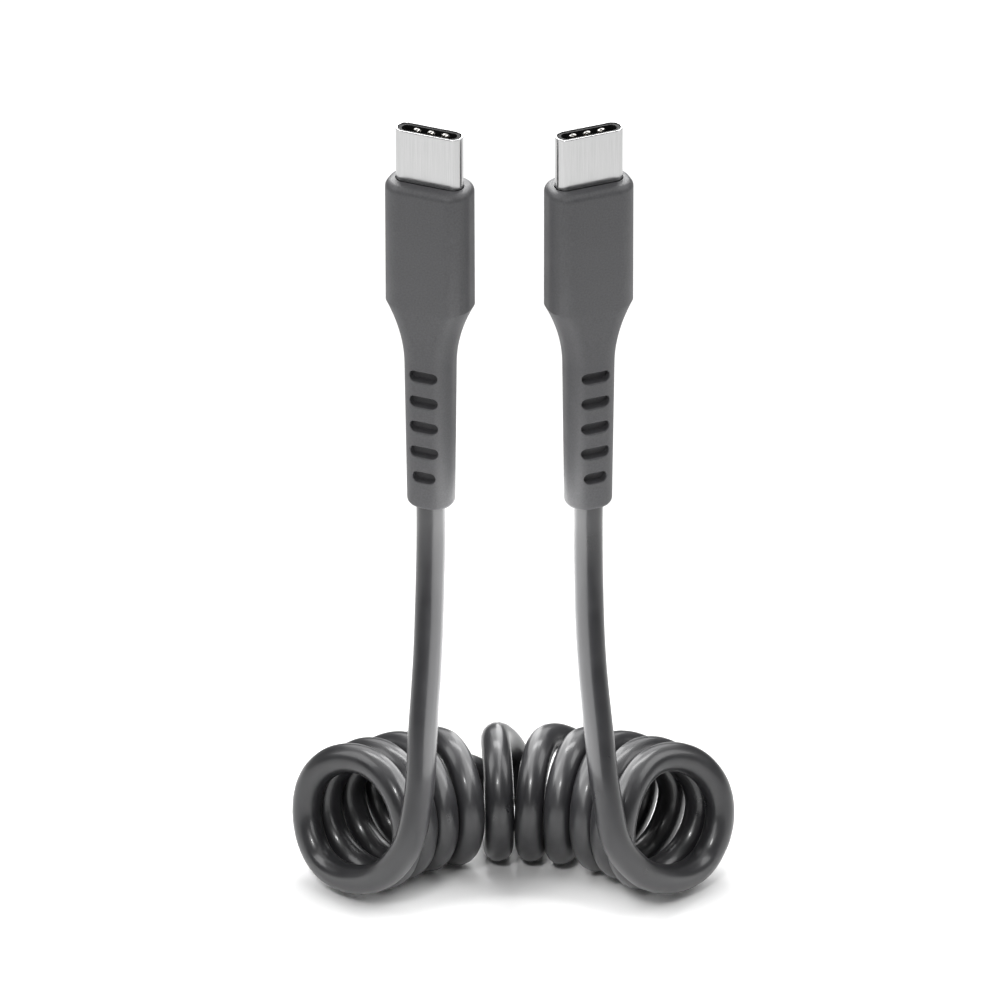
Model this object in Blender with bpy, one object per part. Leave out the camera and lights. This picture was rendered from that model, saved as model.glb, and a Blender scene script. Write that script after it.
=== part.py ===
"""A short coiled charging cable with a flat reversible plug on each end.

The coil lies on the floor in an arc that opens towards the front (-Y). Both ends of
the cable rise from the open ends of the arc, and the two plugs stand upright on them.
Units are metres, +Z is up, and the floor is z = 0.
"""

import bmesh
import bpy
from math import cos, pi, radians, sin
from mathutils import Matrix, Vector
from mathutils.geometry import interpolate_bezier

MM = 0.001

# Fits
TOUCH_GAP = 0.30 * MM
SHELL_FIT = 0.10 * MM
LINER_FIT = 0.05 * MM
SPRING_FIT = 0.03 * MM

# Cable
CABLE_D = 3.5 * MM

# Coil: the outline of its turns, as one tube that is bent along an arc. The turns lean,
# so that their front sides reach further round the arc than their back sides.
ARC_RADIUS = 21.7 * MM
ARC_HALF_ANGLE = radians(59)
TURN_LEAN = 0.07
TURN_RADIUS_MIDDLE = 6.60 * MM
TURN_RADIUS_END = 7.30 * MM
COIL_SIDES = 32
COIL_STATIONS = 28

# Cable ends: the route's own points, in mm, from the coil up to the plug
TAIL_POINTS = {
    "left": (
        (-17.2, -13.3, 2.5),
        (-15.0, -17.1, 5.6),
        (-12.3, -19.0, 10.1),
        (-10.95, -18.7, 16.4),
        (-10.5, -17.2, 23.6),
        (-9.9, -14.3, 32.1),
        (-9.58, -11.4, 40.8),
        (-9.47, -10.59, 46.8),
        (-9.48, -10.96, 50.3),
    ),
    "right": (
        (17.5, -13.6, 2.6),
        (15.4, -17.2, 5.6),
        (12.4, -19.2, 10.1),
        (10.95, -18.8, 16.6),
        (10.1, -17.2, 23.6),
        (9.2, -14.3, 32.1),
        (8.85, -11.4, 40.8),
        (8.785, -10.59, 46.8),
        (8.79, -10.96, 50.3),
    ),
}
TAIL_POINT_STEP = 1.25 * CABLE_D

# Plug housing and its strain relief, moulded as one
HOUSING_WIDTH = 10.45 * MM
HOUSING_THICKNESS = 6.0 * MM
HOUSING_CORNER = 2.6 * MM
SHOULDER_FILLET = 0.9 * MM
MOULDING_LENGTH = 42.65 * MM
TAPER_BOTTOM = 18.5 * MM
TAPER_TOP = 26.9 * MM
BOOT_WIDTH_TOP = 6.0 * MM
BOOT_WIDTH_BOTTOM = 5.6 * MM
BOOT_THICKNESS_TOP = 5.2 * MM
BOOT_THICKNESS_BOTTOM = 4.9 * MM
BOOT_CORNER = 2.35 * MM
BOOT_END_FILLET = 0.65 * MM
CORNER_STEPS = 8

# Slots across the front and back of the strain relief
SLOT_COUNT = 5
SLOT_FIRST_Z = 4.4 * MM
SLOT_PITCH = 3.36 * MM
SLOT_WIDTH = 3.45 * MM
SLOT_WIDTH_LOWEST = 2.8 * MM
SLOT_HEIGHT = 1.4 * MM
SLOT_FLOOR = 1.4 * MM

# Plug
SHELL_WIDTH = 8.25 * MM
SHELL_THICKNESS = 2.40 * MM
SHELL_WALL = 0.20 * MM
SHELL_REACH = 6.65 * MM
SHELL_ROOT = 1.0 * MM
SHELL_LIP_RADIUS = 0.09 * MM
LINER_RECESS = 0.10 * MM
TONGUE_SLOT_WIDTH = 6.70 * MM
TONGUE_SLOT_HEIGHT = 1.20 * MM
TONGUE_SLOT_DEPTH = 5.0 * MM
SPRING_LENGTH = 5.6 * MM
SPRING_THICKNESS = 0.10 * MM
SPRING_HEIGHT = 1.2 * MM
SPRING_BUMPS = 3
SPRING_BUMP_PITCH = 1.77 * MM
SPRING_BUMP_WIDTH = 1.1 * MM
SPRING_BUMP_HEIGHT = 1.0 * MM
SPRING_BUMP_RISE = 0.30 * MM
SPRING_BUMP_STEPS = 6

# How each plug stands: turned about its own length and leaning to the front
PLUG_TURN = radians(22)
PLUG_LEAN = radians(6)
PLUG_SPLAY = {"left": radians(0.15), "right": radians(0)}

COLOURS = {
    "cable_jacket": ((0.050, 0.050, 0.053), 0.30, 0.0),
    "plug_moulding": ((0.085, 0.085, 0.088), 0.62, 0.0),
    "plug_metal": ((0.78, 0.78, 0.79), 0.22, 1.0),
    "liner_plastic": ((0.012, 0.012, 0.013), 0.45, 0.0),
    "spring_metal": ((0.82, 0.82, 0.80), 0.25, 1.0),
}


def clear_scene():
    for obj in list(bpy.data.objects):
        bpy.data.objects.remove(obj, do_unlink=True)


def material(name):
    found = bpy.data.materials.get(name)
    if found:
        return found
    colour, roughness, metallic = COLOURS[name]
    made = bpy.data.materials.new(name)
    made.use_nodes = True
    shader = made.node_tree.nodes["Principled BSDF"]
    shader.inputs["Base Color"].default_value = (*colour, 1.0)
    shader.inputs["Roughness"].default_value = roughness
    shader.inputs["Metallic"].default_value = metallic
    return made


def add_object(name, data, slot=None, parent=None):
    obj = bpy.data.objects.new(name, data)
    bpy.context.scene.collection.objects.link(obj)
    if slot:
        data.materials.append(material(slot))
    if parent:
        obj.parent = parent
    return obj


def mark_as_cutter(obj):
    obj.hide_render = True
    obj.display_type = "WIRE"
    return obj


def loft(name, rings, close_ring=False):
    """A mesh through rings of points; its ends are capped, or joined if close_ring."""
    shape = bmesh.new()
    loops = [[shape.verts.new(point) for point in ring] for ring in rings]
    count = len(loops[0])
    pairs = list(zip(loops, loops[1:]))
    if close_ring:
        pairs.append((loops[-1], loops[0]))
    for lower, upper in pairs:
        for i in range(count):
            j = (i + 1) % count
            shape.faces.new((lower[i], lower[j], upper[j], upper[i]))
    if not close_ring:
        shape.faces.new(list(reversed(loops[0])))
        shape.faces.new(loops[-1])
    bmesh.ops.recalc_face_normals(shape, faces=shape.faces)
    mesh = bpy.data.meshes.new(name)
    shape.to_mesh(mesh)
    shape.free()
    return mesh


def shade_smooth(obj, angle_degrees=35):
    obj.data.shade_smooth()
    obj.data.set_sharp_from_angle(angle=radians(angle_degrees))


def rounded_rectangle(width, thickness, corner, z, steps=CORNER_STEPS):
    """Points of a rectangle with round corners, in the plane at height z."""
    corner = min(corner, width / 2, thickness / 2)
    points = []
    for quarter in range(4):
        side_x = 1 if quarter in (0, 3) else -1
        side_y = 1 if quarter in (0, 1) else -1
        centre = Vector((side_x * (width / 2 - corner), side_y * (thickness / 2 - corner), z))
        for step in range(steps + 1):
            angle = (quarter + step / steps) * pi / 2
            points.append(centre + corner * Vector((cos(angle), sin(angle), 0)))
    return points


def stadium(width, thickness, z, steps=10):
    """A rectangle with half-round ends, without the double points where they meet."""
    radius = thickness / 2
    points = []
    for side in (1, -1):
        centre = Vector((side * (width / 2 - radius), 0, z))
        for step in range(steps + 1):
            angle = (step / steps - 0.5) * pi + (0 if side == 1 else pi)
            points.append(centre + radius * Vector((cos(angle), sin(angle), 0)))
    return points


def fillet_inset(distance, radius):
    """How far a fillet's surface lies inside the outline, this far from its end face."""
    if distance >= radius:
        return 0.0
    rise = radius - distance
    return radius - (radius * radius - rise * rise) ** 0.5


def smooth_route(points, step):
    """Points every step along one smooth curve through the given points."""
    knots = [Vector(point) * MM for point in points]
    fine = []
    for i in range(len(knots) - 1):
        before = knots[max(i - 1, 0)]
        start, end = knots[i], knots[i + 1]
        after = knots[min(i + 2, len(knots) - 1)]
        handle_out = start + (end - before) / 6
        handle_in = end - (after - start) / 6
        fine += interpolate_bezier(start, handle_out, handle_in, end, 40)[:-1]
    fine.append(knots[-1])
    lengths = [0.0]
    for a, b in zip(fine, fine[1:]):
        lengths.append(lengths[-1] + (b - a).length)
    count = round(lengths[-1] / step)
    route = []
    index = 0
    for n in range(count + 1):
        wanted = lengths[-1] * n / count
        while index < len(lengths) - 2 and lengths[index + 1] < wanted:
            index += 1
        share = (wanted - lengths[index]) / (lengths[index + 1] - lengths[index])
        route.append(fine[index].lerp(fine[index + 1], share))
    return route


def cable_tube(name, route, radius, resolution=2):
    """A round tube along the route, as a curve with filled ends."""
    data = bpy.data.curves.new(name, "CURVE")
    data.dimensions = "3D"
    data.bevel_depth = radius
    data.bevel_resolution = resolution
    data.use_fill_caps = True
    spline = data.splines.new("POLY")
    spline.points.add(len(route) - 1)
    for point, place in zip(spline.points, route):
        point.co = (*place, 1.0)
    spline.use_smooth = True
    return data


def turn_radius(angle):
    share = abs(angle) / ARC_HALF_ANGLE
    return TURN_RADIUS_MIDDLE + (TURN_RADIUS_END - TURN_RADIUS_MIDDLE) * min(share, 1.0) ** 2


def coil_ring(angle, offset):
    """One cross-section of the coil's tube, offset out or in from the cable's centre line."""
    mean = turn_radius(angle)
    radius = mean + offset
    # The section stands on one of its flats, so its corners lie outside that radius.
    corner_radius = radius / cos(pi / COIL_SIDES)
    ring = []
    for side in range(COIL_SIDES):
        around = (side + 0.5) * 2 * pi / COIL_SIDES - pi / 2
        leaning = angle * (1 - TURN_LEAN * cos(around))
        reach = ARC_RADIUS + corner_radius * cos(around)
        height = mean + CABLE_D / 2 + corner_radius * sin(around)
        ring.append(Vector((reach * sin(leaning), reach * cos(leaning) - ARC_RADIUS, height)))
    return ring


def build_coil(tail_routes):
    """The coil as one thick-walled tube, grooved where each cable end leaves it."""
    half_angle = ARC_HALF_ANGLE + CABLE_D / 2 / ARC_RADIUS
    angles = [half_angle * (2 * i / COIL_STATIONS - 1) for i in range(COIL_STATIONS + 1)]
    outer = [coil_ring(angle, CABLE_D / 2) for angle in angles]
    inner = [coil_ring(angle, -CABLE_D / 2) for angle in reversed(angles)]
    coil = add_object("cable_coil", loft("cable_coil", outer + inner, close_ring=True), "cable_jacket")
    shade_smooth(coil)
    for side, route in tail_routes.items():
        start = route[0] + (route[0] - route[1]).normalized() * TOUCH_GAP
        groove = cable_tube(f"{side}_groove", [start, *route[1:]], CABLE_D / 2 + TOUCH_GAP)
        groove_object = add_object(f"{side}_groove_curve", groove)
        graph = bpy.context.evaluated_depsgraph_get()
        solid = bpy.data.meshes.new_from_object(groove_object.evaluated_get(graph))
        bpy.data.objects.remove(groove_object, do_unlink=True)
        close_caps(solid)
        cutter = mark_as_cutter(add_object(f"{side}_groove", solid))
        cut = coil.modifiers.new(f"{side}_groove", "BOOLEAN")
        cut.operation = "DIFFERENCE"
        cut.object = cutter
    return coil


def close_caps(mesh):
    """Joins the filled ends of a converted curve to its sides."""
    shape = bmesh.new()
    shape.from_mesh(mesh)
    bmesh.ops.remove_doubles(shape, verts=shape.verts, dist=0.001 * MM)
    bmesh.ops.recalc_face_normals(shape, faces=shape.faces)
    shape.to_mesh(mesh)
    shape.free()


def moulding_section(z):
    """The moulding's outline at height z above its cable end."""
    if z <= TAPER_BOTTOM:
        share = z / TAPER_BOTTOM
        width = BOOT_WIDTH_BOTTOM + (BOOT_WIDTH_TOP - BOOT_WIDTH_BOTTOM) * share
        thickness = BOOT_THICKNESS_BOTTOM + (BOOT_THICKNESS_TOP - BOOT_THICKNESS_BOTTOM) * share
        corner = BOOT_CORNER
    else:
        share = min((z - TAPER_BOTTOM) / (TAPER_TOP - TAPER_BOTTOM), 1.0) ** 2
        width = BOOT_WIDTH_TOP + (HOUSING_WIDTH - BOOT_WIDTH_TOP) * share
        thickness = BOOT_THICKNESS_TOP + (HOUSING_THICKNESS - BOOT_THICKNESS_TOP) * share
        corner = BOOT_CORNER + (HOUSING_CORNER - BOOT_CORNER) * share
    end_inset = fillet_inset(z, BOOT_END_FILLET)
    end_inset += fillet_inset(MOULDING_LENGTH - z, SHOULDER_FILLET)
    return rounded_rectangle(width - 2 * end_inset, thickness - 2 * end_inset, corner - end_inset, z)


def moulding_heights():
    boot_end = [BOOT_END_FILLET * (1 - cos(i * pi / 8)) for i in range(5)]
    taper = [TAPER_BOTTOM + (TAPER_TOP - TAPER_BOTTOM) * i / 7 for i in range(8)]
    shoulder = [MOULDING_LENGTH - SHOULDER_FILLET * (1 - sin(i * pi / 10)) for i in range(6)]
    return boot_end + taper + shoulder


def slot_cutter(side, index, parent):
    """Round-ended bars that cut one slot in the front and the same slot in the back."""
    width = SLOT_WIDTH_LOWEST if index == 0 else SLOT_WIDTH
    z = SLOT_FIRST_Z + index * SLOT_PITCH
    cutters = []
    for face, sign in (("front", -1), ("back", 1)):
        ring = stadium(width, SLOT_HEIGHT, 0, steps=6)
        depths = (SLOT_FLOOR, HOUSING_THICKNESS)
        rings = [[Vector((p.x, sign * depth, z + p.y)) for p in ring] for depth in depths]
        name = f"{side}_slot_{face}_{index + 1}"
        cutters.append(mark_as_cutter(add_object(name, loft(name, rings), parent=parent)))
    return cutters


def build_moulding(side, plug):
    name = f"{side}_plug_overmould"
    rings = [moulding_section(z) for z in moulding_heights()]
    moulding = add_object(name, loft(name, rings), "plug_moulding", plug)
    shade_smooth(moulding)
    fit = 2 * SHELL_FIT
    floor = MOULDING_LENGTH - SHELL_ROOT - TOUCH_GAP
    above = MOULDING_LENGTH + 1 * MM
    socket = [stadium(SHELL_WIDTH + fit, SHELL_THICKNESS + fit, z) for z in (floor, above)]
    socket_name = f"{side}_shell_socket"
    cutters = [mark_as_cutter(add_object(socket_name, loft(socket_name, socket), parent=plug))]
    for index in range(SLOT_COUNT):
        cutters += slot_cutter(side, index, plug)
    for cutter in cutters:
        cut = moulding.modifiers.new(cutter.name, "BOOLEAN")
        cut.operation = "DIFFERENCE"
        cut.object = cutter
    return moulding


def build_shell(side, plug):
    """The drawn metal sleeve: an open tube with a rounded lip."""
    name = f"{side}_plug_shell"
    bottom = MOULDING_LENGTH - SHELL_ROOT
    top = MOULDING_LENGTH + SHELL_REACH
    wall = 2 * SHELL_WALL
    lip = SHELL_LIP_RADIUS
    rings = [stadium(SHELL_WIDTH, SHELL_THICKNESS, bottom)]
    for step in range(9):
        angle = step * pi / 8
        # The lip turns from the outer face over to the inner one.
        inset = SHELL_WALL * (1 - cos(angle)) / 2
        rings.append(stadium(SHELL_WIDTH - 2 * inset, SHELL_THICKNESS - 2 * inset, top - lip * (1 - sin(angle))))
    rings.append(stadium(SHELL_WIDTH - wall, SHELL_THICKNESS - wall, bottom))
    shell = add_object(name, loft(name, rings, close_ring=True), "plug_metal", plug)
    shade_smooth(shell, 50)
    return shell


def build_liner(side, plug):
    """The black plastic inside the shell, with the slot that takes the socket's tongue."""
    name = f"{side}_plug_liner"
    inset = 2 * (SHELL_WALL + LINER_FIT)
    bottom = MOULDING_LENGTH - SHELL_ROOT
    top = MOULDING_LENGTH + SHELL_REACH - LINER_RECESS
    width = SHELL_WIDTH - inset
    thickness = SHELL_THICKNESS - inset
    floor = top - TONGUE_SLOT_DEPTH
    rings = [stadium(width, thickness, z) for z in (bottom, top)]
    rings += [stadium(TONGUE_SLOT_WIDTH, TONGUE_SLOT_HEIGHT, z) for z in (top, floor)]
    liner = add_object(name, loft(name, rings), "liner_plastic", plug)
    shade_smooth(liner, 50)
    return liner


def spring_outline(sign, swell):
    """The spring strip seen along the plug, its bumps raised by this share of their rise."""
    back = TONGUE_SLOT_HEIGHT / 2 - SPRING_FIT
    front = back - SPRING_THICKNESS
    half_width = SPRING_BUMP_WIDTH / 2
    points = [(-SPRING_LENGTH / 2, back), (-SPRING_LENGTH / 2, front)]
    for bump in range(SPRING_BUMPS):
        centre = (bump - (SPRING_BUMPS - 1) / 2) * SPRING_BUMP_PITCH
        for step in range(SPRING_BUMP_STEPS + 1):
            angle = pi * (1 - step / SPRING_BUMP_STEPS)
            rise = SPRING_BUMP_RISE * swell * sin(angle)
            points.append((centre + half_width * cos(angle), front - rise))
    points += [(SPRING_LENGTH / 2, front), (SPRING_LENGTH / 2, back)]
    return [(x, sign * y) for x, y in points]


def build_spring(side, face, sign, plug):
    name = f"{side}_plug_spring_{face}"
    top = MOULDING_LENGTH + SHELL_REACH - LINER_RECESS - SPRING_FIT
    middle = top - SPRING_HEIGHT / 2
    levels = [(top - SPRING_HEIGHT, 0.0)]
    for step in range(SPRING_BUMP_STEPS + 1):
        angle = pi * step / SPRING_BUMP_STEPS
        levels.append((middle - SPRING_BUMP_HEIGHT / 2 * cos(angle), sin(angle)))
    levels.append((top, 0.0))
    rings = [[Vector((x, y, z)) for x, y in spring_outline(sign, swell)] for z, swell in levels]
    spring = add_object(name, loft(name, rings), "spring_metal", plug)
    shade_smooth(spring)
    return spring


def build_plug(side, cable_end, direction):
    """All pieces of one plug, parented to an empty at the cable end of its moulding."""
    mirror = -1 if side == "left" else 1
    plug = add_object(f"{side}_plug", None)
    plug.location = cable_end + direction * TOUCH_GAP
    turn = Matrix.Rotation(mirror * PLUG_TURN, 3, "Z")
    lean = Matrix.Rotation(PLUG_LEAN, 3, "X")
    splay = Matrix.Rotation(-PLUG_SPLAY[side], 3, "Y")
    plug.rotation_euler = (splay @ lean @ turn).to_euler()
    build_moulding(side, plug)
    build_shell(side, plug)
    build_liner(side, plug)
    for face, sign in (("front", -1), ("back", 1)):
        build_spring(side, face, sign, plug)


def main():
    clear_scene()
    routes = {}
    for side, points in TAIL_POINTS.items():
        routes[side] = smooth_route(points, TAIL_POINT_STEP)
        tail = cable_tube(f"cable_tail_{side}", routes[side], CABLE_D / 2)
        add_object(f"cable_tail_{side}", tail, "cable_jacket")
    build_coil(routes)
    for side, route in routes.items():
        build_plug(side, route[-1], (route[-1] - route[-2]).normalized())


main()
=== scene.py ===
"""Looks for a short coiled charging cable with a flat reversible plug on each end.

Units are metres, +Z is up and the floor is z = 0. The camera stands in front, at -Y.
"""

from math import cos, pi, radians, sin

import bmesh
import bpy
from mathutils import Matrix, Vector
from mathutils.geometry import interpolate_bezier

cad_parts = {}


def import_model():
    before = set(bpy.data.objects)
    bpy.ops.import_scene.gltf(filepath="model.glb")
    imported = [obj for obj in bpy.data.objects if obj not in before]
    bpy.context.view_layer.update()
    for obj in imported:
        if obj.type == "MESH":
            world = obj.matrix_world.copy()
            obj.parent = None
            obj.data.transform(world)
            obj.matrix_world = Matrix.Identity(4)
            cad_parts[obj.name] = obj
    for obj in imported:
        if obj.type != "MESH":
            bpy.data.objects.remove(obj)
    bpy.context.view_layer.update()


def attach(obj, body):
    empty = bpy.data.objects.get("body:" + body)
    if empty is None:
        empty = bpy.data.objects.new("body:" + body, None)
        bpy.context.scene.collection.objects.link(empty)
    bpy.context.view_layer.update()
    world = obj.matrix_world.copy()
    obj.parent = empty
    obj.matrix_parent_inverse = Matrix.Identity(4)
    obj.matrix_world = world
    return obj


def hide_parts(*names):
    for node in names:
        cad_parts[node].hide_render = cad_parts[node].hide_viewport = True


MM = 0.001
TURN = 2 * pi

# Camera: where it looks, how high it stands, and how many pixels a millimetre takes there
PICTURE_PIXELS = 1000
VIEW_CENTRE = Vector((-1.47, -8.0, 49.4)) * MM
VIEW_ELEVATION = radians(24)
VIEW_DISTANCE = 2500 * MM
PIXELS_PER_MM = 8.5
FRAME_DEPTH_BEHIND_CENTRE = 20 * MM
SENSOR_WIDTH = 36.0
CLIP_START = 0.1
CLIP_END = 20.0

# Cable, with the route points of its two ends as the model's source has them, in mm
CABLE_D = 3.5 * MM
CABLE_SIDES = 32
CABLE_INTO_PLUG = 0.35 * MM
ROUTE_STEP = 0.4 * MM
STEPS_BETWEEN_KNOTS = 24
TAIL_POINTS = {
    "left": (
        (-17.2, -13.3, 2.5),
        (-15.0, -17.1, 5.6),
        (-12.3, -19.0, 10.1),
        (-10.95, -18.7, 16.4),
        (-10.5, -17.2, 23.6),
        (-9.9, -14.3, 32.1),
        (-9.58, -11.4, 40.8),
        (-9.47, -10.59, 46.8),
        (-9.48, -10.96, 50.3),
    ),
    "right": (
        (17.5, -13.6, 2.6),
        (15.4, -17.2, 5.6),
        (12.4, -19.2, 10.1),
        (10.95, -18.8, 16.6),
        (10.1, -17.2, 23.6),
        (9.2, -14.3, 32.1),
        (8.85, -11.4, 40.8),
        (8.785, -10.59, 46.8),
        (8.79, -10.96, 50.3),
    ),
}

# Coil: the arc that its turns follow, and the size of a turn at its middle and its ends
ARC_RADIUS = 21.7 * MM
ARC_HALF_ANGLE = radians(57)
TURN_RADIUS_MIDDLE = 6.48 * MM
TURN_RADIUS_END = 7.49 * MM
POINTS_PER_TURN = 24
STEPS_LEFT_FOR_TAIL = 3

# Where each turn crosses the arc's front, top, back and bottom, in degrees along the arc
TURNS = {
    "left": (
        (-19.2, -21.0, -34.2, -31.4),
        (-32.6, -33.1, -41.6, -41.4),
        (-46.2, -44.8, -48.9, -51.1),
        (-60.6, -54.7, -55.9, -60.7),
    ),
    "right": (
        (-5.8, -5.3, 1.9, 6.4),
        (7.4, 9.7, 19.2, 17.0),
        (20.8, 20.9, 33.0, 31.0),
        (34.5, 31.6, 41.2, 40.9),
        (48.3, 42.6, 49.5, 51.6),
        (63.0, 52.8, 56.5, 60.1),
    ),
}

# Bend behind the coil, where its hand changes: its two ends and the bottoms beside them, in
# degrees along the arc, how far round the turn it starts, and its height beside a round bend
REVERSAL_ENDS = {"left": (-24.0, -20.7), "right": (-3.6, -4.7)}
REVERSAL_START = 0.128
REVERSAL_HEIGHT = 1.13
REVERSAL_STEPS = 13

# Plugs: the foot of each moulding, and how the plug stands on it
PLUG_FOOT = {
    "left": Vector((-9.480, -10.982, 50.599)) * MM,
    "right": Vector((8.790, -10.982, 50.599)) * MM,
}
PLUG_TURN = {"left": radians(-22), "right": radians(22)}
PLUG_LEAN = radians(6)
PLUG_SPLAY = {"left": radians(0.15), "right": 0.0}

# Plug housing and strain relief
HOUSING_WIDTH = 10.45 * MM
HOUSING_THICKNESS = 6.0 * MM
HOUSING_CORNER = 2.6 * MM
SHOULDER_FILLET = 0.9 * MM
SHOULDER_STEPS = 12
MOULDING_LENGTH = 42.65 * MM
TAPER_BOTTOM = 18.5 * MM
TAPER_TOP = 26.9 * MM
TAPER_STEPS = 20
BOOT_WIDTH = (5.6 * MM, 6.0 * MM)
BOOT_THICKNESS = (4.9 * MM, 5.2 * MM)
BOOT_CORNER = 2.35 * MM
BOOT_END_FILLET = 0.65 * MM
BOOT_END_STEPS = 8
CORNER_STEPS = 18

# Slots of the strain relief
SLOT_COUNT = 5
SLOT_FIRST_Z = 4.4 * MM
SLOT_PITCH = 3.36 * MM
SLOT_WIDTH = 3.45 * MM
SLOT_WIDTH_LOWEST = 2.8 * MM
SLOT_HEIGHT = 1.4 * MM
SLOT_FLOOR = 1.4 * MM
SLOT_EDGE_RADIUS = 0.16 * MM
SLOT_EDGE_STEPS = 7
SLOT_EDGE_STEP_ANGLE = radians(10)
SLOT_CUTTER_FLARE = 0.35 * MM
SLOT_CUTTER_ABOVE_FACE = 0.2 * MM
SLOT_END_STEPS = 16

# Metal sleeve, the black part inside it, and the contacts in that
SHELL_WIDTH = 8.25 * MM
SHELL_THICKNESS = 2.40 * MM
SHELL_WALL = 0.20 * MM
SHELL_FIT = 0.10 * MM
SHELL_REACH = 6.65 * MM
SHELL_ROOT = 1.0 * MM
SHELL_LIP_STEPS = 16
SHELL_END_STEPS = 24
SOCKET_DEPTH = 0.7 * MM
SOCKET_CUTTER_HEIGHT = 2.0 * MM
LINER_FIT = 0.05 * MM
LINER_RECESS = 0.10 * MM
LINER_LEAD_IN = 0.08 * MM
MOUTH_SLOT_WIDTH = 6.70 * MM
MOUTH_SLOT_HEIGHT = 1.20 * MM
MOUTH_SLOT_DEPTH = 5.0 * MM
CONTACTS = 12
CONTACT_PITCH = 0.5 * MM
CONTACT_WIDTH = 0.26 * MM
CONTACT_TOP = 1.75 * MM
CONTACT_LENGTH = 3.0 * MM
CONTACT_RISE = 0.16 * MM
CONTACT_RISE_AT_ENDS = 0.04 * MM
CONTACT_INTO_WALL = 0.02 * MM
CONTACT_CROWN_POWER = 0.6
CONTACT_STEPS = 12
SPRING_LENGTH = 5.6 * MM
SPRING_THICKNESS = 0.10 * MM
SPRING_SUNK = 0.22 * MM
SPRING_HEIGHT = 1.0 * MM
SPRING_BELOW_MOUTH = 0.03 * MM
SPRING_BUMPS = 3
SPRING_BUMP_PITCH = 1.77 * MM
SPRING_BUMP_WIDTH = 1.15 * MM
SPRING_BUMP_HEIGHT = 0.75 * MM
SPRING_BUMP_RISE = 0.33 * MM
SPRING_BUMP_STEPS = 18

# A contact's cross-section: across in half widths, and up in shares of its rise
CONTACT_SECTION = ((-1, 0), (-1, 0.7), (-0.6, 1), (0.6, 1), (1, 0.7), (1, 0))

# Nearly all of a noise pattern's values lie between these two
NOISE_LOW = 0.2
NOISE_HIGH = 0.8

# Studio: the floor's width in metres, and the even light from all round
FLOOR_SIZE = 8.0
ROOM_BRIGHTNESS = 0.15

# Softboxes by azimuth and elevation in degrees, distance, width and height in metres, and
# brightness; azimuth 0 is in front and 90 to the right
SOFTBOXES = {
    "overhead softbox": (180, 78, 1.0, 1.4, 1.4, 1.1),
    "left softbox": (-85, 40, 0.8, 0.4, 0.5, 4.0),
    "right softbox": (85, 40, 0.8, 0.4, 0.5, 4.0),
    "back softbox": (180, 35, 1.2, 0.9, 0.5, 2.4),
}
KEY_SOFTBOX = (-12, 38, 0.7, 0.09, 0.09, 60.0)

# A lamp close behind the plugs, and an upright glowing card between the cable's two ends
BETWEEN_PLUGS_X = -0.35 * MM
PLUG_LAMP_PLACE = Vector((BETWEEN_PLUGS_X, 42 * MM, 136 * MM))
PLUG_LAMP_TARGET = Vector((BETWEEN_PLUGS_X, -17 * MM, 93 * MM))
PLUG_LAMP_WIDTH = 90 * MM
PLUG_LAMP_HEIGHT = 36 * MM
PLUG_LAMP_BRIGHTNESS = 10.0
CARD_DEPTH = 110 * MM
CARD_MIDDLE_Y = -15 * MM
CARD_BOTTOM = 17 * MM
CARD_TOP = 48 * MM
CARD_BRIGHTNESS = 3.4


def link(name, data):
    obj = bpy.data.objects.new(name, data)
    bpy.context.scene.collection.objects.link(obj)
    return obj


# Cable


def arc_point(angle, around):
    """The cable's centre on a turn: around is 0 at the front, a quarter turn on top."""
    share = min(abs(angle) / ARC_HALF_ANGLE, 1.0)
    radius = TURN_RADIUS_MIDDLE + (TURN_RADIUS_END - TURN_RADIUS_MIDDLE) * share**2
    outward = Vector((sin(angle), cos(angle), 0))
    centre = outward * ARC_RADIUS - Vector((0, ARC_RADIUS, 0))
    centre.z = radius + CABLE_D / 2
    return centre + radius * (Vector((0, 0, sin(around))) - outward * cos(around))


def steady_rise(knots, place):
    """A smooth curve through (x, y) knots that never turns back between two of them."""
    slopes = [(b[1] - a[1]) / (b[0] - a[0]) for a, b in zip(knots, knots[1:])]
    rises = [0.0]
    for i in range(1, len(slopes)):
        before, after = slopes[i - 1], slopes[i]
        rises.append(2 * before * after / (before + after) if before * after > 0 else 0.0)
    rises.append(0.0)
    i = 0
    while i < len(slopes) - 1 and place > knots[i + 1][0]:
        i += 1
    width = knots[i + 1][0] - knots[i][0]
    s = (place - knots[i][0]) / width
    start, end = knots[i][1], knots[i + 1][1]
    return (
        (2 * s**3 - 3 * s**2 + 1) * start
        + (s**3 - 2 * s**2 + s) * width * rises[i]
        + (3 * s**2 - 2 * s**3) * end
        + (s**3 - s**2) * width * rises[i + 1]
    )


def coil_side(side):
    """The turns of one side, from the bend behind the coil to the open end.

    Places count turns from the arc's back: a quarter is the bottom and a half the front.
    """
    start, bottom = REVERSAL_ENDS[side]
    knots = [(REVERSAL_START, radians(start)), (0.25, radians(bottom))]
    for turn, crossings in enumerate(TURNS[side]):
        for quarter, crossing in enumerate(crossings):
            knots.append((turn + 0.5 + quarter / 4, radians(crossing)))
    turns = knots[-1][0] - REVERSAL_START
    count = round(turns * POINTS_PER_TURN)
    points = []
    for step in range(count + 1 - STEPS_LEFT_FOR_TAIL):
        place = REVERSAL_START + turns * step / count
        points.append(arc_point(steady_rise(knots, place), pi + TURN * place))
    return points


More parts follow.
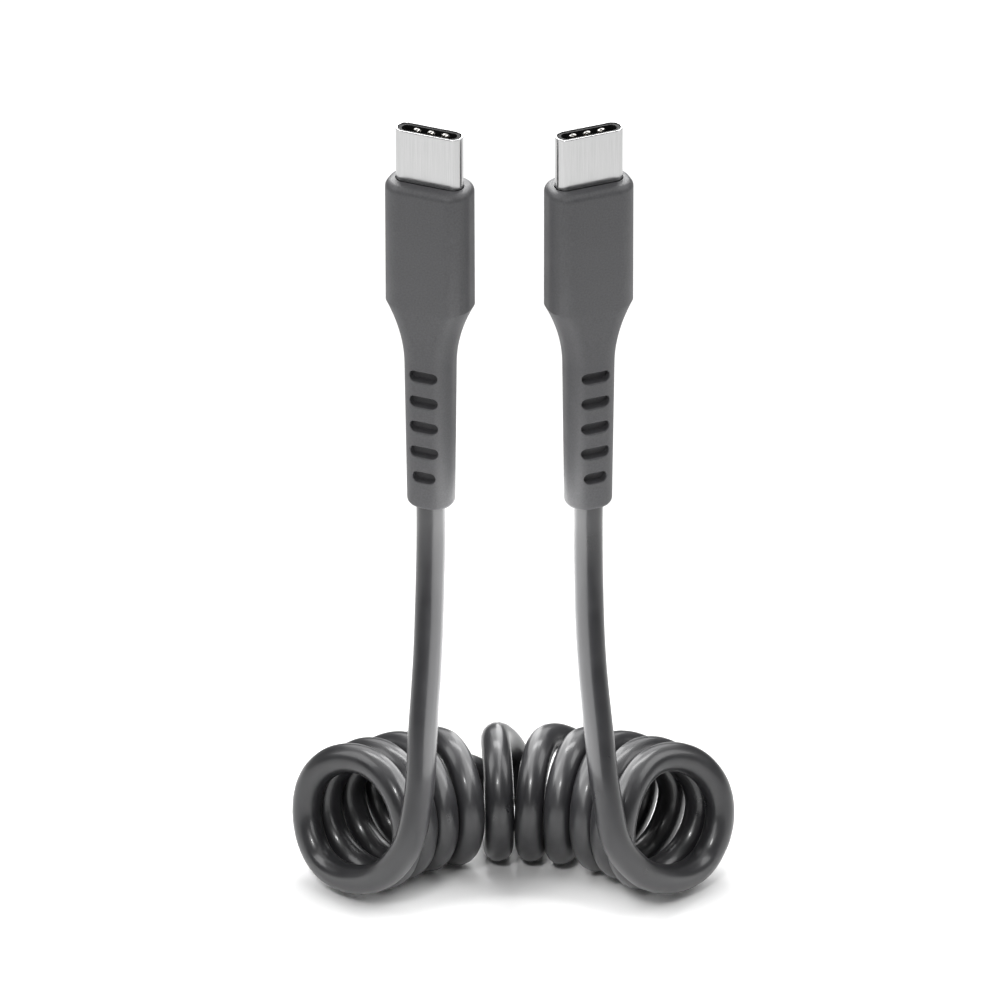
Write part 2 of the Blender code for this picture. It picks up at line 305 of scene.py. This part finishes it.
def coil_reversal():
    """The bend behind the coil, where it changes hand."""
    left, right = (radians(REVERSAL_ENDS[side][0]) for side in ("left", "right"))
    middle, half = (left + right) / 2, (right - left) / 2
    rise = half * (ARC_RADIUS + TURN_RADIUS_MIDDLE) * REVERSAL_HEIGHT / TURN_RADIUS_MIDDLE
    points = []
    for step in range(1, REVERSAL_STEPS):
        angle = step * pi / REVERSAL_STEPS
        around = pi + TURN * REVERSAL_START - rise * sin(angle)
        points.append(arc_point(middle - half * cos(angle), around))
    return points


def smooth_route(knots, step):
    """Points every step along one smooth curve through unevenly spaced knots."""
    gaps = [(b - a).length for a, b in zip(knots, knots[1:])]
    ways = [(b - a) / gap for a, b, gap in zip(knots, knots[1:], gaps)]
    tangents = [ways[0]]
    for i in range(1, len(ways)):
        tangents.append((ways[i - 1] * gaps[i] + ways[i] * gaps[i - 1]) / (gaps[i - 1] + gaps[i]))
    tangents.append(ways[-1])
    fine = []
    for i, gap in enumerate(gaps):
        handle_out = knots[i] + tangents[i] * gap / 3
        handle_in = knots[i + 1] - tangents[i + 1] * gap / 3
        ends = (knots[i], handle_out, handle_in, knots[i + 1])
        fine += interpolate_bezier(*ends, STEPS_BETWEEN_KNOTS)[:-1]
    fine.append(knots[-1])
    lengths = [0.0]
    for a, b in zip(fine, fine[1:]):
        lengths.append(lengths[-1] + (b - a).length)
    count = round(lengths[-1] / step)
    route = []
    index = 0
    for n in range(count + 1):
        wanted = lengths[-1] * n / count
        while index < len(lengths) - 2 and lengths[index + 1] < wanted:
            index += 1
        share = (wanted - lengths[index]) / (lengths[index + 1] - lengths[index])
        route.append(fine[index].lerp(fine[index + 1], share))
    return route, lengths[-1]


def cable_route():
    """The whole cable's centre line, from the left plug round the coil to the right plug."""
    # The first point only joins the solids. Without it the last turn opens out in one bend.
    tails = {side: [Vector(p) * MM for p in points[1:]] for side, points in TAIL_POINTS.items()}
    knots = tails["left"][::-1] + coil_side("left")[::-1] + coil_reversal()
    knots += coil_side("right") + tails["right"]
    return smooth_route(knots, ROUTE_STEP)


def build_cable(finish):
    """One round cable on its route, with both ends let into the plugs."""
    route, length = cable_route()
    before = route[0] + (route[0] - route[1]).normalized() * CABLE_INTO_PLUG
    after = route[-1] + (route[-1] - route[-2]).normalized() * CABLE_INTO_PLUG
    route = [before, *route, after]
    data = bpy.data.curves.new("coiled_cable", "CURVE")
    data.dimensions = "3D"
    data.bevel_depth = CABLE_D / 2
    data.bevel_resolution = CABLE_SIDES // 4 - 1
    data.use_fill_caps = True
    spline = data.splines.new("POLY")
    spline.points.add(len(route) - 1)
    for point, place in zip(spline.points, route):
        point.co = (*place, 1.0)
    spline.use_smooth = True
    data.materials.append(finish)
    cable = link("coiled_cable", data)
    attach(cable, "root")
    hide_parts("cable_coil", "cable_tail_left", "cable_tail_right")


# Plugs


def rounded_rectangle(width, thickness, corner, z):
    """Points of a rectangle with round corners, in the plane at height z."""
    corner = min(corner, width / 2, thickness / 2)
    points = []
    for quarter in range(4):
        side_x = 1 if quarter in (0, 3) else -1
        side_y = 1 if quarter in (0, 1) else -1
        centre = Vector((side_x * (width / 2 - corner), side_y * (thickness / 2 - corner), z))
        for step in range(CORNER_STEPS + 1):
            angle = (quarter + step / CORNER_STEPS) * pi / 2
            points.append(centre + corner * Vector((cos(angle), sin(angle), 0)))
    return points


def stadium(width, thickness, z, steps=SHELL_END_STEPS):
    """A rectangle with half-round ends."""
    radius = thickness / 2
    points = []
    for side in (1, -1):
        centre = Vector((side * (width / 2 - radius), 0, z))
        for step in range(steps + 1):
            angle = (step / steps - 0.5) * pi + (0 if side == 1 else pi)
            points.append(centre + radius * Vector((cos(angle), sin(angle), 0)))
    return points


def add_loft(shape, rings, closed=False):
    """Adds a skin through rings of points; its ends are capped, or joined if closed."""
    loops = [[shape.verts.new(point) for point in ring] for ring in rings]
    count = len(loops[0])
    pairs = list(zip(loops, loops[1:]))
    if closed:
        pairs.append((loops[-1], loops[0]))
    for lower, upper in pairs:
        for i in range(count):
            j = (i + 1) % count
            shape.faces.new((lower[i], lower[j], upper[j], upper[i]))
    if not closed:
        shape.faces.new(list(reversed(loops[0])))
        shape.faces.new(loops[-1])


def mesh_object(name, shape, finish=None):
    bmesh.ops.recalc_face_normals(shape, faces=shape.faces)
    mesh = bpy.data.meshes.new(name)
    shape.to_mesh(mesh)
    shape.free()
    if finish:
        mesh.materials.append(finish)
    return link(name, mesh)


def loft_object(name, rings, finish=None, closed=False):
    shape = bmesh.new()
    add_loft(shape, rings, closed)
    return mesh_object(name, shape, finish)


def shade_smooth(obj, angle_degrees):
    obj.data.shade_smooth()
    obj.data.set_sharp_from_angle(angle=radians(angle_degrees))


def cut_away(obj, cutters):
    """Takes the cutters' shapes out of the object, then removes them."""
    for cutter in cutters:
        cut = obj.modifiers.new(cutter.name, "BOOLEAN")
        cut.operation = "DIFFERENCE"
        cut.solver = "EXACT"
        cut.object = cutter
    graph = bpy.context.evaluated_depsgraph_get()
    mesh = bpy.data.meshes.new_from_object(obj.evaluated_get(graph))
    obj.modifiers.clear()
    obj.data = mesh
    for cutter in cutters:
        bpy.data.objects.remove(cutter, do_unlink=True)


def fillet_inset(distance, radius):
    """How far a fillet's surface lies inside the outline, this far from its end face."""
    if distance >= radius:
        return 0.0
    rise = radius - distance
    return radius - (radius * radius - rise * rise) ** 0.5


def boot_size(z):
    share = z / TAPER_BOTTOM
    width = BOOT_WIDTH[0] + (BOOT_WIDTH[1] - BOOT_WIDTH[0]) * share
    thickness = BOOT_THICKNESS[0] + (BOOT_THICKNESS[1] - BOOT_THICKNESS[0]) * share
    return width, thickness


def moulding_section(z):
    """The moulding's outline at height z above its cable end."""
    width, thickness = boot_size(min(z, TAPER_BOTTOM))
    share = min(max(z - TAPER_BOTTOM, 0.0) / (TAPER_TOP - TAPER_BOTTOM), 1.0) ** 2
    width += (HOUSING_WIDTH - width) * share
    thickness += (HOUSING_THICKNESS - thickness) * share
    corner = BOOT_CORNER + (HOUSING_CORNER - BOOT_CORNER) * share
    inset = fillet_inset(z, BOOT_END_FILLET)
    inset += fillet_inset(MOULDING_LENGTH - z, SHOULDER_FILLET)
    return rounded_rectangle(width - 2 * inset, thickness - 2 * inset, corner - inset, z)


def moulding_heights():
    """Where the moulding has a ring: round its end fillet, up its taper and its shoulder."""
    heights = []
    for step in range(BOOT_END_STEPS + 1):
        heights.append(BOOT_END_FILLET * (1 - cos(step / BOOT_END_STEPS * pi / 2)))
    for step in range(TAPER_STEPS + 1):
        heights.append(TAPER_BOTTOM + (TAPER_TOP - TAPER_BOTTOM) * step / TAPER_STEPS)
    for step in range(SHOULDER_STEPS + 1):
        rise = sin(step / SHOULDER_STEPS * pi / 2)
        heights.append(MOULDING_LENGTH - SHOULDER_FILLET * (1 - rise))
    return heights


def boot_face(x, z):
    """How far the strain relief's wide face stands from its middle plane at x."""
    width, thickness = boot_size(z)
    over = min(max(abs(x) - (width / 2 - BOOT_CORNER), 0.0), BOOT_CORNER)
    return thickness / 2 - BOOT_CORNER + (BOOT_CORNER * BOOT_CORNER - over * over) ** 0.5


def slot_cutter(index, sign):
    """Cuts one slot with a rounded edge that follows the round face of the strain relief."""
    width = SLOT_WIDTH_LOWEST if index == 0 else SLOT_WIDTH
    z = SLOT_FIRST_Z + index * SLOT_PITCH
    edge = SLOT_EDGE_RADIUS
    flares = []
    for step in range(SLOT_EDGE_STEPS):
        angle = step * SLOT_EDGE_STEP_ANGLE
        flares.append((edge * (1 - cos(angle)), edge * (sin(angle) - 1)))
    flares.append((flares[-1][0] + SLOT_CUTTER_FLARE, SLOT_CUTTER_ABOVE_FACE))
    outline = stadium(width, SLOT_HEIGHT, 0, SLOT_END_STEPS)
    rings = [[Vector((p.x, sign * SLOT_FLOOR, z + p.y)) for p in outline]]
    for grow, height in flares:
        outline = stadium(width + 2 * grow, SLOT_HEIGHT + 2 * grow, 0, SLOT_END_STEPS)
        depths = [sign * (boot_face(p.x, z) + height) for p in outline]
        rings.append([Vector((p.x, depth, z + p.y)) for p, depth in zip(outline, depths)])
    # The last ring lies flat outside the moulding, so that the cap on it is flat too.
    rings.append([Vector((p.x, sign * HOUSING_THICKNESS, z + p.y)) for p in outline])
    return loft_object(f"slot_{index}_{sign}", rings)


def socket_cutter():
    """Cuts the shallow pocket that the sleeve stands in."""
    floor = MOULDING_LENGTH - SOCKET_DEPTH
    width = SHELL_WIDTH + 2 * SHELL_FIT
    thickness = SHELL_THICKNESS + 2 * SHELL_FIT
    heights = (floor, floor + SOCKET_CUTTER_HEIGHT)
    return loft_object("sleeve_socket", [stadium(width, thickness, z) for z in heights])


def build_moulding(side, finish):
    """The housing and its strain relief in one, with the sleeve's pocket and the slots cut."""
    rings = [moulding_section(z) for z in moulding_heights()]
    moulding = loft_object(f"{side}_moulding", rings, finish)
    cutters = [socket_cutter()]
    for index in range(SLOT_COUNT):
        cutters += [slot_cutter(index, sign) for sign in (-1, 1)]
    cut_away(moulding, cutters)
    shade_smooth(moulding, 22)
    return moulding


def build_sleeve(side, finish):
    """The drawn sleeve, with a lip that turns over from its outer face to the inner one."""
    root = MOULDING_LENGTH - SHELL_ROOT
    top = MOULDING_LENGTH + SHELL_REACH
    rings = [stadium(SHELL_WIDTH, SHELL_THICKNESS, root)]
    for step in range(SHELL_LIP_STEPS + 1):
        angle = step * pi / SHELL_LIP_STEPS
        inset = SHELL_WALL * (1 - cos(angle)) / 2
        z = top - SHELL_WALL / 2 * (1 - sin(angle))
        rings.append(stadium(SHELL_WIDTH - 2 * inset, SHELL_THICKNESS - 2 * inset, z))
    rings.append(stadium(SHELL_WIDTH - 2 * SHELL_WALL, SHELL_THICKNESS - 2 * SHELL_WALL, root))
    sleeve = loft_object(f"{side}_sleeve", rings, finish, closed=True)
    shade_smooth(sleeve, 50)
    return sleeve


def build_liner(side, finish):
    """The black moulded part inside the sleeve, its mouth slot edged with a small lead-in."""
    inset = 2 * (SHELL_WALL + LINER_FIT)
    root = MOULDING_LENGTH - SHELL_ROOT
    top = MOULDING_LENGTH + SHELL_REACH - LINER_RECESS
    width, thickness = SHELL_WIDTH - inset, SHELL_THICKNESS - inset
    lead = LINER_LEAD_IN
    rings = [
        stadium(width, thickness, root),
        stadium(width, thickness, top - lead),
        stadium(width - lead, thickness - lead, top),
        stadium(MOUTH_SLOT_WIDTH + 2 * lead, MOUTH_SLOT_HEIGHT + 2 * lead, top),
        stadium(MOUTH_SLOT_WIDTH, MOUTH_SLOT_HEIGHT, top - 2 * lead),
        stadium(MOUTH_SLOT_WIDTH, MOUTH_SLOT_HEIGHT, top - MOUTH_SLOT_DEPTH),
    ]
    liner = loft_object(f"{side}_liner", rings, finish)
    shade_smooth(liner, 40)
    return liner


def build_contacts(side, finish):
    """Two rows of contact blades on the walls of the mouth slot, crowned in the middle."""
    shape = bmesh.new()
    mouth = MOULDING_LENGTH + SHELL_REACH
    for sign in (-1, 1):
        wall = MOUTH_SLOT_HEIGHT / 2 + CONTACT_INTO_WALL
        for number in range(CONTACTS):
            centre = (number - (CONTACTS - 1) / 2) * CONTACT_PITCH
            rings = []
            for step in range(CONTACT_STEPS + 1):
                share = step / CONTACT_STEPS
                rise = CONTACT_RISE_AT_ENDS
                rise += CONTACT_RISE * sin(pi * share) ** CONTACT_CROWN_POWER
                z = mouth - CONTACT_TOP - CONTACT_LENGTH * share
                ring = []
                for across, up in CONTACT_SECTION:
                    x = centre + across * CONTACT_WIDTH / 2
                    ring.append(Vector((x, sign * (wall - rise * up), z)))
                rings.append(ring)
            add_loft(shape, rings)
    contacts = mesh_object(f"{side}_contacts", shape, finish)
    shade_smooth(contacts, 40)
    return contacts


def spring_outline(sign, swell):
    """A spring strip seen along the plug, its bumps raised by this share of their rise."""
    back = MOUTH_SLOT_HEIGHT / 2 + SPRING_SUNK
    front = back - SPRING_THICKNESS
    points = [(-SPRING_LENGTH / 2, back), (-SPRING_LENGTH / 2, front)]
    for bump in range(SPRING_BUMPS):
        centre = (bump - (SPRING_BUMPS - 1) / 2) * SPRING_BUMP_PITCH
        for step in range(SPRING_BUMP_STEPS + 1):
            across = 2 * step / SPRING_BUMP_STEPS - 1
            crown = max(swell * swell - across * across, 0.0) ** 0.5
            x = centre + across * SPRING_BUMP_WIDTH / 2
            points.append((x, front - SPRING_BUMP_RISE * crown))
    points += [(SPRING_LENGTH / 2, front), (SPRING_LENGTH / 2, back)]
    return [(x, sign * y) for x, y in points]


def build_spring(side, face, sign, finish):
    """A stamped strip that lies in the mouth's wall, so that only its round bumps show."""
    top = MOULDING_LENGTH + SHELL_REACH - LINER_RECESS - SPRING_BELOW_MOUTH
    middle = top - SPRING_HEIGHT / 2
    levels = [(top - SPRING_HEIGHT, 0.0)]
    for step in range(SPRING_BUMP_STEPS + 1):
        angle = pi * step / SPRING_BUMP_STEPS
        levels.append((middle - SPRING_BUMP_HEIGHT / 2 * cos(angle), sin(angle)))
    levels.append((top, 0.0))
    rings = [[Vector((x, y, z)) for x, y in spring_outline(sign, swell)] for z, swell in levels]
    spring = loft_object(f"{side}_spring_{face}", rings, finish)
    shade_smooth(spring, 50)
    return spring


def build_plug(side, finishes):
    """All pieces of one plug, made upright on the origin and then set on the cable's end."""
    lean = Matrix.Rotation(PLUG_LEAN, 4, "X")
    splay = Matrix.Rotation(-PLUG_SPLAY[side], 4, "Y")
    turn = Matrix.Rotation(PLUG_TURN[side], 4, "Z")
    stand = Matrix.Translation(PLUG_FOOT[side]) @ splay @ lean @ turn
    made = (
        (build_moulding(side, finishes["moulding"]), "overmould", "plug_moulding"),
        (build_sleeve(side, finishes["sleeve"]), "shell", "plug_metal"),
        (build_liner(side, finishes["liner"]), "liner", "liner_plastic"),
        (build_contacts(side, finishes["contact"]), None, "spring_metal"),
        (build_spring(side, "front", -1, finishes["spring"]), "spring_front", "spring_metal"),
        (build_spring(side, "back", 1, finishes["spring"]), "spring_back", "spring_metal"),
    )
    for piece, node, slot in made:
        piece.matrix_world = stand
        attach(piece, "root")
        if node:
            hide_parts(f"{side}_plug_{node}")
    return [piece for piece, node, slot in made]


# Materials


def srgb(colour):
    """A hex colour as Blender's linear values."""
    channels = [int(colour[i : i + 2], 16) / 255 for i in (1, 3, 5)]
    return (*(c / 12.92 if c <= 0.04045 else ((c + 0.055) / 1.055) ** 2.4 for c in channels), 1.0)


def add_node(tree, kind, sockets=None, **settings):
    """Adds a node; sockets gives each input a value, or another node's output to link."""
    node = tree.nodes.new(kind)
    for name, value in settings.items():
        setattr(node, name, value)
    for socket, value in (sockets or {}).items():
        if isinstance(value, bpy.types.NodeSocket):
            tree.links.new(value, node.inputs[socket])
        else:
            node.inputs[socket].default_value = value
    return node


def new_finish(name, colour, roughness, metallic=0.0, ior=1.5):
    """A material with one principled shader; returns it with its tree and shader."""
    finish = bpy.data.materials.new(name)
    finish.use_nodes = True
    shader = finish.node_tree.nodes["Principled BSDF"]
    shader.inputs["Base Color"].default_value = srgb(colour)
    shader.inputs["Roughness"].default_value = roughness
    shader.inputs["Metallic"].default_value = metallic
    shader.inputs["IOR"].default_value = ior
    return finish, finish.node_tree, shader


def features(size_mm, stretch=(1, 1, 1)):
    """A scale per metre for features of this size, longer along an axis with more stretch."""
    return tuple(1 / (size_mm * MM * s) for s in stretch)


def noise(tree, size_mm, stretch=(1, 1, 1), detail=2.0):
    """Noise on the piece itself, with features of the given size in millimetres."""
    place = add_node(tree, "ShaderNodeTexCoord")
    spread = add_node(
        tree,
        "ShaderNodeMapping",
        {"Vector": place.outputs["Object"], "Scale": features(size_mm, stretch)},
    )
    cloud = add_node(
        tree,
        "ShaderNodeTexNoise",
        {"Vector": spread.outputs["Vector"], "Scale": 1.0, "Detail": detail},
    )
    return cloud.outputs["Fac"]


def vary_roughness(tree, shader, pattern, low, high):
    """Lets the roughness follow a noise pattern, from low to high."""
    spread = add_node(
        tree,
        "ShaderNodeMapRange",
        {
            "Value": pattern,
            "From Min": NOISE_LOW,
            "From Max": NOISE_HIGH,
            "To Min": low,
            "To Max": high,
        },
    )
    tree.links.new(spread.outputs["Result"], shader.inputs["Roughness"])


def vary_colour(tree, shader, pattern, dark, light, start=NOISE_LOW, end=NOISE_HIGH):
    """Lets the colour run from dark to light where the pattern runs from start to end."""
    spread = add_node(
        tree, "ShaderNodeMapRange", {"Value": pattern, "From Min": start, "From Max": end}
    )
    # With colours a mix node's factor is input 0, its colours are 6 and 7, and its output is 2.
    tones = add_node(
        tree,
        "ShaderNodeMix",
        {0: spread.outputs["Result"], 6: srgb(dark), 7: srgb(light)},
        data_type="RGBA",
    )
    tree.links.new(tones.outputs[2], shader.inputs["Base Color"])


def raise_surface(tree, shader, pattern, depth_mm, under=None):
    """Lets the light see the pattern as relief of this depth, on top of the one under it."""
    sockets = {"Height": pattern, "Distance": depth_mm * MM}
    if under:
        sockets["Normal"] = under.outputs["Normal"]
    bump = add_node(tree, "ShaderNodeBump", sockets)
    tree.links.new(bump.outputs["Normal"], shader.inputs["Normal"])
    return bump


def soft_pvc_jacket():
    """Soft PVC, extruded: a dark satin skin whose long highlights waver a little."""
    finish, tree, shader = new_finish("soft PVC, extruded", "#232325", 0.34, ior=1.53)
    # Plasticiser leaves a thin gloss on the skin, which gives the small sharp highlights.
    shader.inputs["Coat Weight"].default_value = 0.25
    shader.inputs["Coat Roughness"].default_value = 0.1
    # Haze from handling lies in patches of a few millimetres.
    haze = noise(tree, 4.0, detail=3.0)
    vary_roughness(tree, shader, haze, 0.24, 0.44)
    vary_colour(tree, shader, haze, "#1c1c1e", "#2a2a2c", start=0.0, end=1.0)
    # The real skin's pores are about 0.05 mm; they are drawn at 0.3 mm to show.
    raise_surface(tree, shader, noise(tree, 0.3), 0.0015)
    return finish


def moulded_tpe():
    """Thermoplastic elastomer, moulded in an eroded tool: a fine even grain, no gloss."""
    finish, tree, shader = new_finish("TPE, moulded with an eroded grain", "#444446", 0.5)
    # Eroded grain is about 0.08 mm across; it is drawn at 0.2 mm to show.
    grain = noise(tree, 0.2, detail=4.0)
    vary_colour(tree, shader, grain, "#3c3c3e", "#4c4c4e")
    # The material flows into the mould unevenly, in faint patches of a few millimetres.
    patches = noise(tree, 4.0)
    vary_roughness(tree, shader, patches, 0.46, 0.58)
    flow = raise_surface(tree, shader, patches, 0.02)
    raise_surface(tree, shader, grain, 0.012, flow)
    return finish


def nickel_plate():
    """Steel, deep drawn and nickel plated: near mirror, faintly lined lengthwise."""
    finish, tree, shader = new_finish("nickel plated steel, drawn", "#bcbcbc", 0.2, metallic=1.0)
    # Drawing marks run along the plug. They are about 0.02 mm apart, drawn at 0.12 mm to show.
    lines = noise(tree, 0.12, stretch=(1, 1, 60), detail=3.0)
    # Rubbing in sockets leaves patches about 1.5 mm across that are a little duller.
    rubbed = noise(tree, 1.5, detail=3.0)
    vary_roughness(tree, shader, rubbed, 0.16, 0.27)
    vary_colour(tree, shader, lines, "#b2b2b2", "#c6c6c6")
    raise_surface(tree, shader, lines, 0.0012)
    return finish


def black_lcp_with_painted_shade():
    """Liquid crystal polymer, moulded: flat black with painted shade, which makes the mouth read
    as a hole.
    """
    # Partly the plastic's own black, partly painted shade: this near-zero black stands in for the
    # mouth's shade.
    finish, tree, shader = new_finish("LCP, moulded black, with painted shade", "#030303", 0.6)
    # Its reflection is cut low as painted shade, for the dark deep in the mouth.
    shader.inputs["Specular IOR Level"].default_value = 0.12
    # Glass fibres near the skin show as fine streaks, about 0.3 mm long.
    fibres = noise(tree, 0.1, stretch=(3, 1, 1), detail=3.0)
    # The streaks' tones are kept near zero too, as painted shade.
    vary_colour(tree, shader, fibres, "#020202", "#060607")
    vary_roughness(tree, shader, fibres, 0.5, 0.7)
    raise_surface(tree, shader, fibres, 0.002)
    return finish


def spring_steel():
    """Stamped spring steel, plated: small bright bumps against the black."""
    name = "spring steel, stamped and plated"
    finish, tree, shader = new_finish(name, "#e6e4e0", 0.25, metallic=1.0)
    # Stamping drags faint lines along the plug, 0.1 mm apart, over each bump.
    drag = noise(tree, 0.1, stretch=(1, 1, 8))
    vary_roughness(tree, shader, drag, 0.18, 0.34)
    vary_colour(tree, shader, drag, "#dcdad6", "#efede9")
    return finish


def gold_flash():
    """Copper alloy blades with a thin gold plating: warm, with duller rubbed patches."""
    name = "copper alloy, gold plated"
    finish, tree, shader = new_finish(name, "#e2bd6a", 0.24, metallic=1.0)
    # Wear leaves patches of about 0.3 mm, some of them duller.
    rubbed = noise(tree, 0.3)
    vary_roughness(tree, shader, rubbed, 0.18, 0.36)
    vary_colour(tree, shader, rubbed, "#d9b05a", "#ebca80")
    return finish


def studio_paper():
    """Matt white studio paper: even, with a tooth too fine to see from here."""
    finish, tree, shader = new_finish("studio paper, matt white", "#f6f6f6", 0.95, ior=1.3)
    # Paper tooth of about 0.1 mm is drawn at 0.5 mm.
    raise_surface(tree, shader, noise(tree, 0.5), 0.01)
    return finish


# Studio


def build_floor(finish):
    half = FLOOR_SIZE / 2
    mesh = bpy.data.meshes.new("floor")
    corners = [(-half, -half, 0), (half, -half, 0), (half, half, 0), (-half, half, 0)]
    mesh.from_pydata(corners, [], [(0, 1, 2, 3)])
    mesh.materials.append(finish)
    link("floor", mesh)


def aim(obj, place, target):
    obj.location = place
    obj.rotation_euler = (Vector(target) - Vector(place)).to_track_quat("-Z", "Y").to_euler()


def around_object(azimuth, elevation, distance):
    """A place around the middle of the object: azimuth 0 is in front, 90 to the right."""
    a, e = radians(azimuth), radians(elevation)
    way = Vector((sin(a) * cos(e), -cos(a) * cos(e), sin(e)))
    return VIEW_CENTRE + way * distance


def add_glowing_panel(name, place, target, width, height, brightness):
    """A flat soft light, as bright at any size, which the camera itself doesn't see."""
    data = bpy.data.lights.new(name, "AREA")
    data.shape = "RECTANGLE"
    data.size = width
    data.size_y = height
    data.energy = brightness * pi * width * height
    panel = link(name, data)
    aim(panel, place, target)
    panel.visible_camera = False


def add_softbox(name, azimuth, elevation, distance, width, height, brightness):
    place = around_object(azimuth, elevation, distance)
    add_glowing_panel(name, place, VIEW_CENTRE, width, height, brightness)


def add_glowing_card(name, way):
    """One face of the card between the cable's ends, which lights the sides that face it."""
    height = CARD_TOP - CARD_BOTTOM
    place = Vector((BETWEEN_PLUGS_X, CARD_MIDDLE_Y, CARD_BOTTOM + height / 2))
    target = place + Vector((way, 0, 0))
    add_glowing_panel(name, place, target, CARD_DEPTH, height, CARD_BRIGHTNESS)


def add_plug_lamp():
    """A small lamp close behind the plugs, which draws the edges of their shoulders."""
    add_glowing_panel(
        "lamp behind the plugs",
        PLUG_LAMP_PLACE,
        PLUG_LAMP_TARGET,
        PLUG_LAMP_WIDTH,
        PLUG_LAMP_HEIGHT,
        PLUG_LAMP_BRIGHTNESS,
    )


def light_room():
    """A dim even light from all round, so that no side of the object is black."""
    world = bpy.data.worlds.new("grey room")
    bpy.context.scene.world = world
    world.use_nodes = True
    tree = world.node_tree
    tree.nodes.clear()
    sockets = {"Color": srgb("#ffffff"), "Strength": ROOM_BRIGHTNESS}
    background = add_node(tree, "ShaderNodeBackground", sockets)
    add_node(tree, "ShaderNodeOutputWorld", {"Surface": background.outputs[0]})


def light_scene():
    """Soft light from above and both sides, and small lights that draw the edges."""
    light_room()
    for name, box in SOFTBOXES.items():
        add_softbox(name, *box)
    add_plug_lamp()
    add_softbox("key softbox", *KEY_SOFTBOX)
    add_glowing_card("card between the plugs, left face", -1)
    add_glowing_card("card between the plugs, right face", 1)
    bpy.context.scene.view_settings.view_transform = "Standard"


def add_camera():
    data = bpy.data.cameras.new("camera")
    data.sensor_width = SENSOR_WIDTH
    depth = VIEW_DISTANCE + FRAME_DEPTH_BEHIND_CENTRE
    data.lens = PIXELS_PER_MM / MM * depth * SENSOR_WIDTH / PICTURE_PIXELS
    data.clip_start = CLIP_START
    data.clip_end = CLIP_END
    camera = link("camera", data)
    back = Vector((0, -cos(VIEW_ELEVATION), sin(VIEW_ELEVATION)))
    aim(camera, VIEW_CENTRE + back * VIEW_DISTANCE, VIEW_CENTRE)
    bpy.context.scene.camera = camera


def main():
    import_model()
    add_camera()
    finishes = {
        "jacket": soft_pvc_jacket(),
        "moulding": moulded_tpe(),
        # The liner's finish is black plastic with painted shade of the mouth.
        "sleeve": nickel_plate(),
        "liner": black_lcp_with_painted_shade(),
        "contact": gold_flash(),
        "spring": spring_steel(),
    }
    build_plug("left", finishes)
    right_plug = build_plug("right", finishes)
    build_cable(finishes["jacket"])
    build_floor(studio_paper())
    light_scene()


main()
